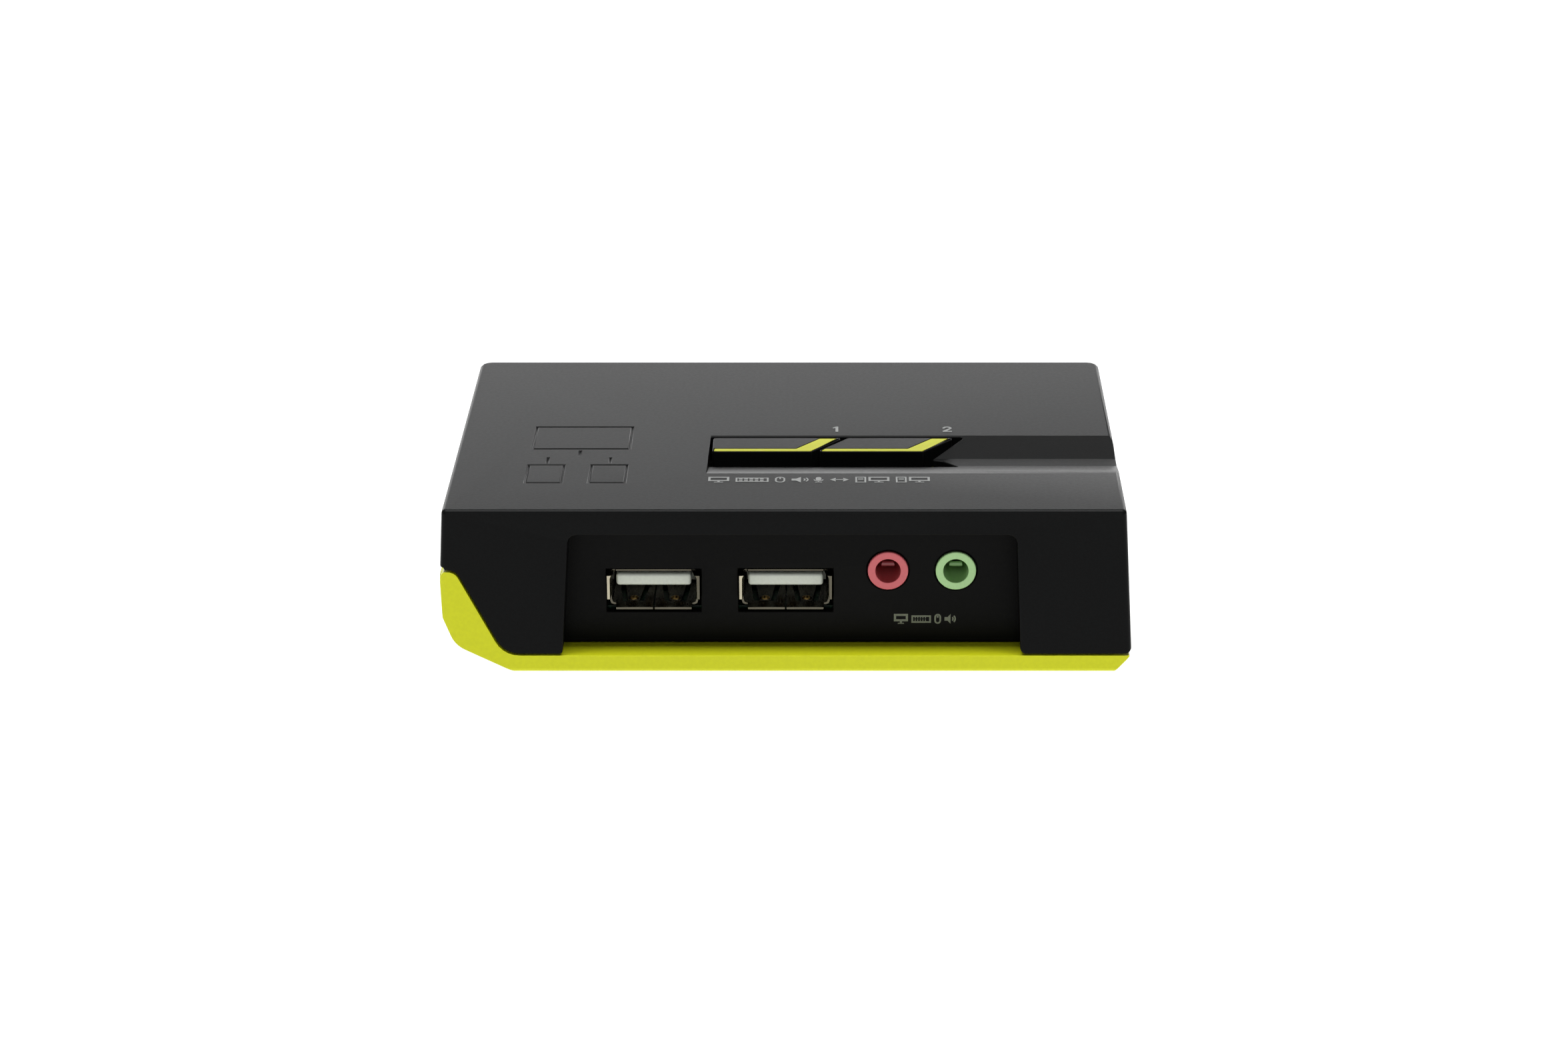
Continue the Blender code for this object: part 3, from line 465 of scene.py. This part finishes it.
def draw_screen(ink, u, v, w, h, line=0.34):
    ink.frame((u, u + w), (v + 0.25 * h, v + h), line)
    ink.bar(around(u + w / 2, line / 2), (v + 0.08 * h, v + 0.25 * h))
    ink.bar(around(u + w / 2, w * 0.22), (v, v + 0.1 * h))


def draw_keyboard(ink, u, v, w, h):
    ink.frame((u, u + w), (v + 0.1 * h, v + 0.85 * h), 0.26)
    for row in range(2):
        for key in range(5):
            left = u + 0.5 + key * (w - 1.0) / 5
            base = v + 0.28 * h + row * 0.26 * h
            ink.bar((left, left + (w - 1.0) / 5 - 0.25), (base, base + 0.16 * h))


def draw_mouse(ink, u, v, w, h):
    half = w / 2
    outer, inner = [capsule(u + half, v + half, v + h - half, radius) for radius in (half, half - 0.25)]
    add_ring(ink.bm, outer, inner, ink.axis, ink.low, ink.high)
    ink.bar(around(u + half, 0.12), (v + 0.62 * h, v + 0.9 * h))


def draw_speaker(ink, u, v, w, h):
    mid = v + h / 2
    ink.shape([(u, mid - 0.18 * h), (u + 0.3 * w, mid - 0.18 * h), (u + 0.6 * w, mid - 0.48 * h),
               (u + 0.6 * w, mid + 0.48 * h), (u + 0.3 * w, mid + 0.18 * h), (u, mid + 0.18 * h)])
    for reach in (0.3, 0.5):
        ink.arc(u + 0.6 * w, mid, reach * h, 0.22, -0.8, 0.8, 6)


def draw_tower(ink, u, v, w, h):
    ink.frame((u, u + w), (v, v + h), 0.25)
    ink.bar((u + 0.25 * w, u + 0.75 * w), (v + 0.68 * h, v + 0.78 * h))
    ink.bar((u + 0.25 * w, u + 0.75 * w), (v + 0.48 * h, v + 0.58 * h))


def draw_double_arrow(ink, u, v, w, h):
    mid = v + h / 2
    ink.bar((u + 0.25 * w, u + 0.75 * w), around(mid, 0.13))
    for tip, back in ((u, u + 0.3 * w), (u + w, u + 0.7 * w)):
        ink.shape([(tip, mid), (back, mid - 0.32 * h), (back, mid + 0.32 * h)])


def draw_microphone(ink, u, v, w, h):
    mid = u + w / 2
    ink.shape(capsule(mid, v + 0.52 * h, v + 0.78 * h, 0.18 * h))
    ink.arc(mid, v + 0.52 * h, 0.32 * h, 0.2, math.pi, 2 * math.pi)
    ink.bar(around(mid, 0.1), (v + 0.06 * h, v + 0.22 * h))
    ink.bar(around(mid, 0.22 * h), (v, v + 0.1 * h))


def top_icons():
    """The row of pictures in front of the groove: what is shared, and the computers that share it."""
    ink = Ink("Z", TOP_Z, 1)
    low_v, height, gap = -21.8, 2.3, 0.95
    row = [(draw_screen, 3.1), (draw_keyboard, 4.9), (draw_mouse, 1.5), (draw_speaker, 2.3)]
    row += [(draw_microphone, 1.5), (draw_double_arrow, 2.8)]
    row += 2 * [(draw_tower, 1.6), (draw_screen, 3.1)]
    u = -11.4
    for draw, width in row:
        draw(ink, u, low_v, width, height)
        u += width + gap - 0.6 * (draw is draw_tower)
    return ink.finish("top_icons", INK_PALE)


def top_numbers():
    """A bold 1 and a bold 2 on the top face, behind their buttons."""
    ink = Ink("Z", TOP_Z, 1)
    one = [(0.38, -1.15), (0.38, 1.15), (0.05, 1.15), (-0.45, 0.72)]
    one += [(-0.45, 0.35), (-0.05, 0.55), (-0.05, -1.15)]
    bow = circle(0, 0, 1.0, 12, -0.5, math.pi + 0.85)
    outer = [(0.7 * u, 0.47 + 0.68 * v) for u, v in bow]
    inner = [(0.34 * u, 0.47 + 0.3 * v) for u, v in bow]
    foot = [(-0.7, -0.75), (-0.7, -1.15), (0.72, -1.15), (0.72, -0.78), (-0.1, -0.78)]
    for (x, y), points in (((7.5, 1.2), one), ((24.6, 1.2), outer + inner[::-1] + foot)):
        ink.shape([(x + u, y + v) for u, v in points])
    return ink.finish("top_numbers", INK_PALE)


def console_icons():
    """What the front sockets serve, printed under the jacks."""
    ink = Ink("Y", PANEL_Y, -1)
    u = 16.1
    for draw, width in ((draw_screen, 2.1), (draw_keyboard, 2.9), (draw_mouse, 1.0), (draw_speaker, 1.5)):
        draw(ink, u, 6.15, width, 1.6)
        u += width + 0.5
    return ink.finish("console_icons", INK_DIM)


def back_icons():
    """Pictures on the back panel, over the sockets that they name. u runs along X, seen from behind."""
    ink = Ink("Y", BACK_PANEL_Y, 1)
    for name in PORTS:
        x = middle(name + "_port_shell").x
        if name == "monitor":
            draw_screen(ink, x - 1.3, 19.7, 2.6, 1.9, 0.22)
        else:
            draw_tower(ink, x - 0.6, 19.7, 1.2, 1.9)
    return ink.finish("back_icons", INK_DIM)


top_icons()
top_numbers()
console_icons()
back_icons()


# Small parts in and on the sockets


# a jack's finger: place along Y, height over the contact's underside, and half width
FINGER_BEND = [
    (-23.0, 0.1, 0.85),
    (-26.0, -0.85, 0.88),
    (-26.9, -1.3, 0.86),
    (-27.45, -1.42, 0.8),
    (-27.7, -1.38, 0.9),
    (-27.87, -1.22, 0.96),
    (-27.95, -1.03, 0.96),
    (-27.95, -0.85, 0.9),
    (-27.87, -0.73, 0.75),
]
FINGER_THICK = 0.22
BUMP_REACH, BUMP_Y = 3.1, -25.4  # spring bumps, from the middle of a USB shell
BUMP_RINGS = [(0.75, 0.0), (0.7, 0.2), (0.45, 0.36), (0.2, 0.42)]  # radius and height
PIN_PITCH, PIN_ROW_PITCH, TAIL_RADIUS, TAIL_BEND = 2.29, 1.98, 0.22, 0.5
RESISTOR_HALF_X, RESISTOR_HALF_Y, RESISTOR_HIGH = 1.0, 0.6, 0.55


def jack_finger(name):
    """The springy tip of a jack's contact, which dips into the front of the bore."""
    x = middle(name + "_jack_contacts").x
    top_z = low_high(name + "_jack_contacts")[0].z
    bm = bmesh.new()
    rings = []
    for y, dz, half in FINGER_BEND:
        low_z, high_z = top_z + dz, top_z + dz + FINGER_THICK / 2
        ring = [(x - half, y, low_z), (x + half, y, low_z)]
        ring += [(x + half, y + FINGER_THICK, high_z), (x - half, y + FINGER_THICK, high_z)]
        rings.append([bm.verts.new(point) for point in ring])
    for near, far in zip(rings, rings[1:]):
        join_rings(bm, near, far)
    bm.faces.new(rings[0])
    bm.faces.new(rings[-1])
    slot = "jack_pink" if name == "mic" else "jack_green"
    # the finger takes the darker copy of its jack's colour, painted shade inside the bore
    return to_object(name + "_jack_finger", bm, M[slot + "_painted_shade"])


def spring_bumps(number):
    """The rounded contact bumps at the ends of the spring tongues in a USB shell's floor."""
    shell_middle = middle(f"usb_{number}_shell")
    floor_z = shell_middle.z - 2.55
    bm = bmesh.new()
    for side in (-1, 1):
        x = shell_middle.x + side * BUMP_REACH
        rings = []
        for radius, height in BUMP_RINGS:
            rings.append([bm.verts.new((u, v, floor_z + height)) for u, v in circle(x, BUMP_Y, radius, 16)])
        for a, b in zip(rings, rings[1:]):
            join_rings(bm, a, b)
        bm.faces.new(rings[0])
        bm.faces.new(rings[-1])
    return to_object(f"usb_{number}_spring_bumps", bm, M["contact_gold"])


def port_tails(name):
    """The solder tails of a back socket, bent down to the board."""
    low, _ = low_high(name + "_port_insulator")
    x, z = middle(name + "_port_shell").x, middle(name + "_port_shell").z
    bm = bmesh.new()
    for row in (-1, 0, 1):
        shift = 0.57 if row == 0 else -0.57
        pin_z = z + PIN_ROW_PITCH * row
        tail_y = low.y - 1.2 - 0.9 * (row + 1)
        quarter = circle(tail_y, pin_z - TAIL_BEND, TAIL_BEND, 4, math.pi / 2, math.pi / 2)
        for k in range(-2, 3):
            pin_x = x + shift + PIN_PITCH * k
            bend = [(pin_x, y, bend_z) for y, bend_z in quarter]
            foot = (pin_x, tail_y - TAIL_BEND, BOARD_TOP_Z)
            add_round_bar(bm, [(pin_x, low.y, pin_z), *bend, foot], TAIL_RADIUS)
    return to_object(name + "_port_tails", bm, M["contact_gold"])


def chip_resistors():
    """A row of four, and four more in a zigzag behind the chips."""
    places = [(-12.0 + 4.0 * k, -11.2) for k in range(4)]
    places += [(2.0 + 4.0 * k, 9.5 + 2.4 * (k % 2)) for k in range(4)]
    bm = bmesh.new()
    for x, y in places:
        outline = rectangle(*around(x, RESISTOR_HALF_X), *around(y, RESISTOR_HALF_Y))
        add_prism(bm, outline, "Z", BOARD_TOP_Z + 0.01, BOARD_TOP_Z + RESISTOR_HIGH)
    obj = to_object("chip_resistors", bm, M["chip_black"])
    soften(obj, 0.08)
    return obj


for jack in JACKS:
    jack_finger(jack)
for usb in (1, 2):
    spring_bumps(usb)
for port in PORTS:
    port_tails(port)
chip_resistors()


# Stage, lights and camera


def plain_floor():
    material, tree, shader = new_material("floor_white")
    shader.inputs["Base Color"].default_value = (0.2, 0.2, 0.2, 1)
    shader.inputs["Roughness"].default_value = 0.9
    shader.inputs["Emission Color"].default_value = (1, 1, 1, 1)
    shader.inputs["Emission Strength"].default_value = 1.0
    mesh = bpy.data.meshes.new("floor")
    bm = bmesh.new()
    bmesh.ops.create_grid(bm, x_segments=1, y_segments=1, size=4.0)
    bm.to_mesh(mesh)
    bm.free()
    mesh.materials.append(material)
    floor = bpy.data.objects.new("floor", mesh)
    bpy.context.scene.collection.objects.link(floor)


def softbox(name, place, size, power):
    """A rectangular lamp at a place in metres, turned towards the object."""
    light = bpy.data.lights.new(name, "AREA")
    light.shape = "RECTANGLE"
    light.size, light.size_y = size
    light.energy = power
    obj = bpy.data.objects.new(name, light)
    obj.location = place
    obj.rotation_euler = (Vector(LAMP_AIM) - Vector(place)).to_track_quat("-Z", "Y").to_euler()
    obj.visible_camera = False
    bpy.context.scene.collection.objects.link(obj)


LAMP_AIM = (0, 0, 0.01)
LAMPS = (  # name, distance behind the object, height, width and depth of the lamp in metres, watts
    ("low_back_light", 1.6, 0.09, (3.2, 0.16), 8.0),
    ("back_light", 1.6, 0.33, (3.2, 0.32), 13.5),
    ("high_back_light", 0.85, 1.15, (1.6, 0.8), 5.5),
    ("top_light", -0.03, 1.4, (1.4, 0.5), 36.0),
    ("front_light", -1.4, 0.7, (1.0, 0.6), 3.5),
)


def studio():
    world = bpy.data.worlds.new("studio")
    world.use_nodes = True
    world.node_tree.nodes["Background"].inputs["Color"].default_value = (1, 1, 1, 1)
    world.node_tree.nodes["Background"].inputs["Strength"].default_value = 0.05
    bpy.context.scene.world = world
    for name, behind, height, size, power in LAMPS:
        softbox(name, (0.0, behind, height), size, power)
    bpy.context.scene.view_settings.view_transform = "Standard"


CAMERA_PLACE = (7.73, -538.1, 222.5)
CAMERA_DROP = 21.45  # degrees below the horizon
CAMERA_LENS = 85.74
CAMERA_SHIFT = -0.034


def camera():
    data = bpy.data.cameras.new("camera")
    data.lens = CAMERA_LENS
    data.sensor_width = 36.0
    data.shift_x = CAMERA_SHIFT
    data.clip_start = 0.01
    obj = bpy.data.objects.new("camera", data)
    obj.location = Vector(CAMERA_PLACE) * MM
    obj.rotation_euler = (math.radians(90 - CAMERA_DROP), 0, 0)
    bpy.context.scene.collection.objects.link(obj)
    bpy.context.scene.camera = obj


plain_floor()
studio()
camera()
